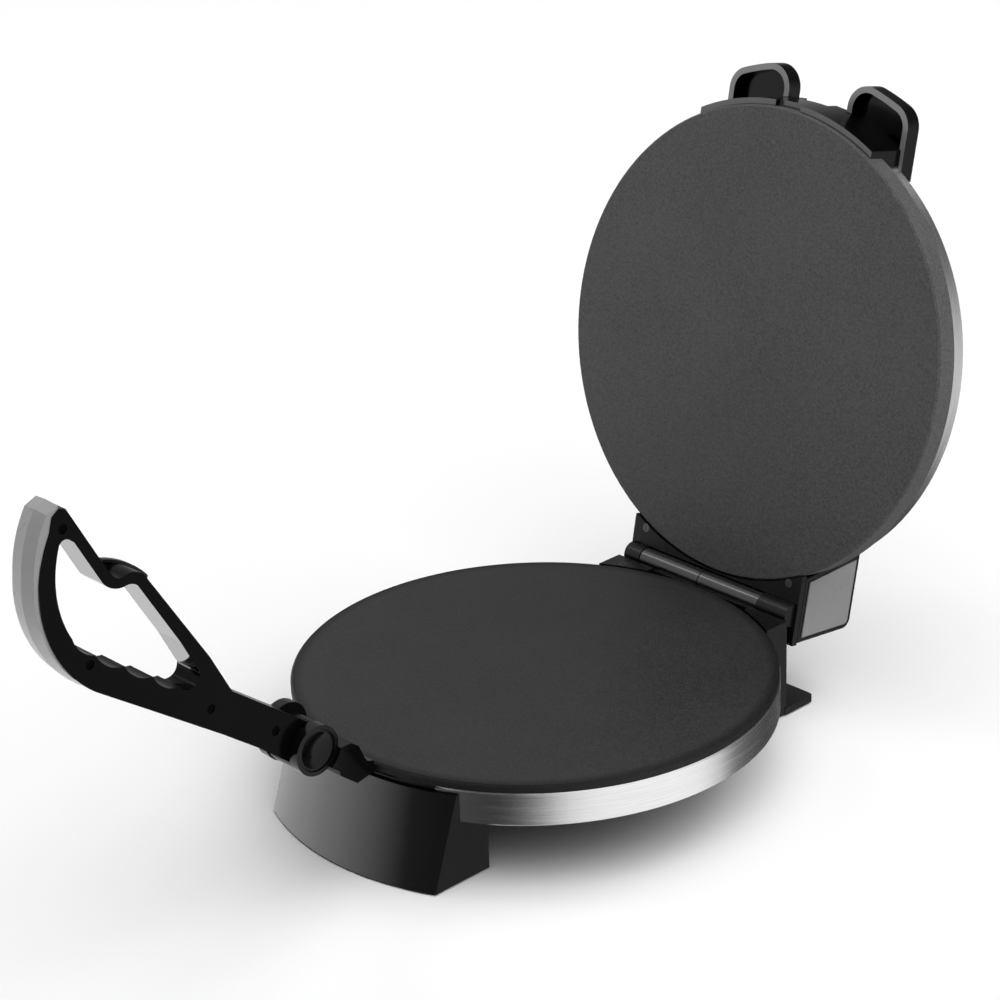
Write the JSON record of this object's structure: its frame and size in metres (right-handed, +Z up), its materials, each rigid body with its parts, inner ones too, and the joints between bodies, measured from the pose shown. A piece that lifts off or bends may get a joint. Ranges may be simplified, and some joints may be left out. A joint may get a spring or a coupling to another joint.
{
  "type": "electric roti maker",
  "caption": "Electric roti maker: round hot plate base on two feet, hinged heated lid with thumb tabs, and an overhead press lever with a D-shaped grip.",
  "frame": {"origin": "on the table, under the middle of the lower hot plate, level with the undersides of the rubber pads", "axes": "+Z up, -Y the front where the lever is hinged, +Y the rear where the lid is hinged, +X to the right as seen from the front"},
  "size_m": [0.3, 0.6384, 0.38],
  "materials": {
    "black_gloss": "gloss black moulded plastic",
    "black_satin": "satin black moulded plastic",
    "nonstick": "die-cast aluminium with dark grey speckled non-stick coating",
    "stainless": "brushed stainless sheet",
    "grey_satin": "satin grey moulded plastic",
    "panel_grey": "satin dark grey panel",
    "steel": "plain steel",
    "black_screw": "blackened steel screw",
    "sheath": "heat-tinted element sheath",
    "reflector": "bright aluminised sheet",
    "rubber": "matte rubber",
    "phenolic": "phenolic control body",
    "lens_red": "tinted lens",
    "brass": "plain brass"
  },
  "bodies": {
    "base": {"base_housing": "black_satin", "base_bottom_cover": "black_satin", "base_cover_screws": "black_screw", "base_steel_band": "stainless", "lower_hot_plate": "nonstick", "lower_plate_screws": "steel", "lower_heating_element": "sheath", "lower_element_clamps": "steel", "lower_reflector": "reflector", "lower_thermostat": "phenolic", "lower_thermal_fuse": "steel", "terminal_block": "phenolic", "front_foot": "black_gloss", "rear_foot": "black_satin", "rubber_pads": "rubber", "cord_inlet": "rubber", "base_hinge_screws": "black_screw", "hinge_barrel_left": "black_satin", "hinge_barrel_right": "black_satin", "hinge_pin": "steel", "pivot_bracket": "black_gloss", "lever_pivot_pin": "steel", "pivot_cap_right": "black_gloss", "pivot_cap_left": "black_gloss"},
    "lid": {"upper_hot_plate": "nonstick", "upper_heating_element": "sheath", "upper_element_clamps": "steel", "upper_thermal_fuse": "steel", "upper_reflector": "reflector", "lid_steel_shell": "stainless", "lid_shell_screws": "black_screw", "lid_front_housing": "black_gloss", "lid_tab_right": "black_gloss", "lid_tab_left": "black_gloss", "lid_hinge_bracket": "black_satin", "lid_hinge_screws": "black_screw", "lid_rear_housing": "black_gloss", "rear_panel_right": "panel_grey", "rear_panel_left": "panel_grey", "indicator_lenses": "lens_red", "lid_spine": "black_gloss", "lid_press_boss": "black_satin"},
    "lever": {"lever_shell_right": "black_gloss", "lever_shell_left": "black_gloss", "lever_screws": "black_screw", "lever_back_strip": "grey_satin", "lever_press_cam": "black_satin", "lever_pivot_bush": "brass"}
  },
  "joints": [
    {"name": "lid_hinge", "type": "hinge", "parent": "base", "child": "lid", "pos_m": [0, 0.1584, 0.0659], "axis": [1, 0, 0], "range_deg": [0, 102.5]},
    {"name": "lever_pivot", "type": "hinge", "parent": "base", "child": "lever", "pos_m": [0, -0.1892, 0.0895], "axis": [-1, 0, 0], "range_deg": [0, 112.5]}
  ]
}
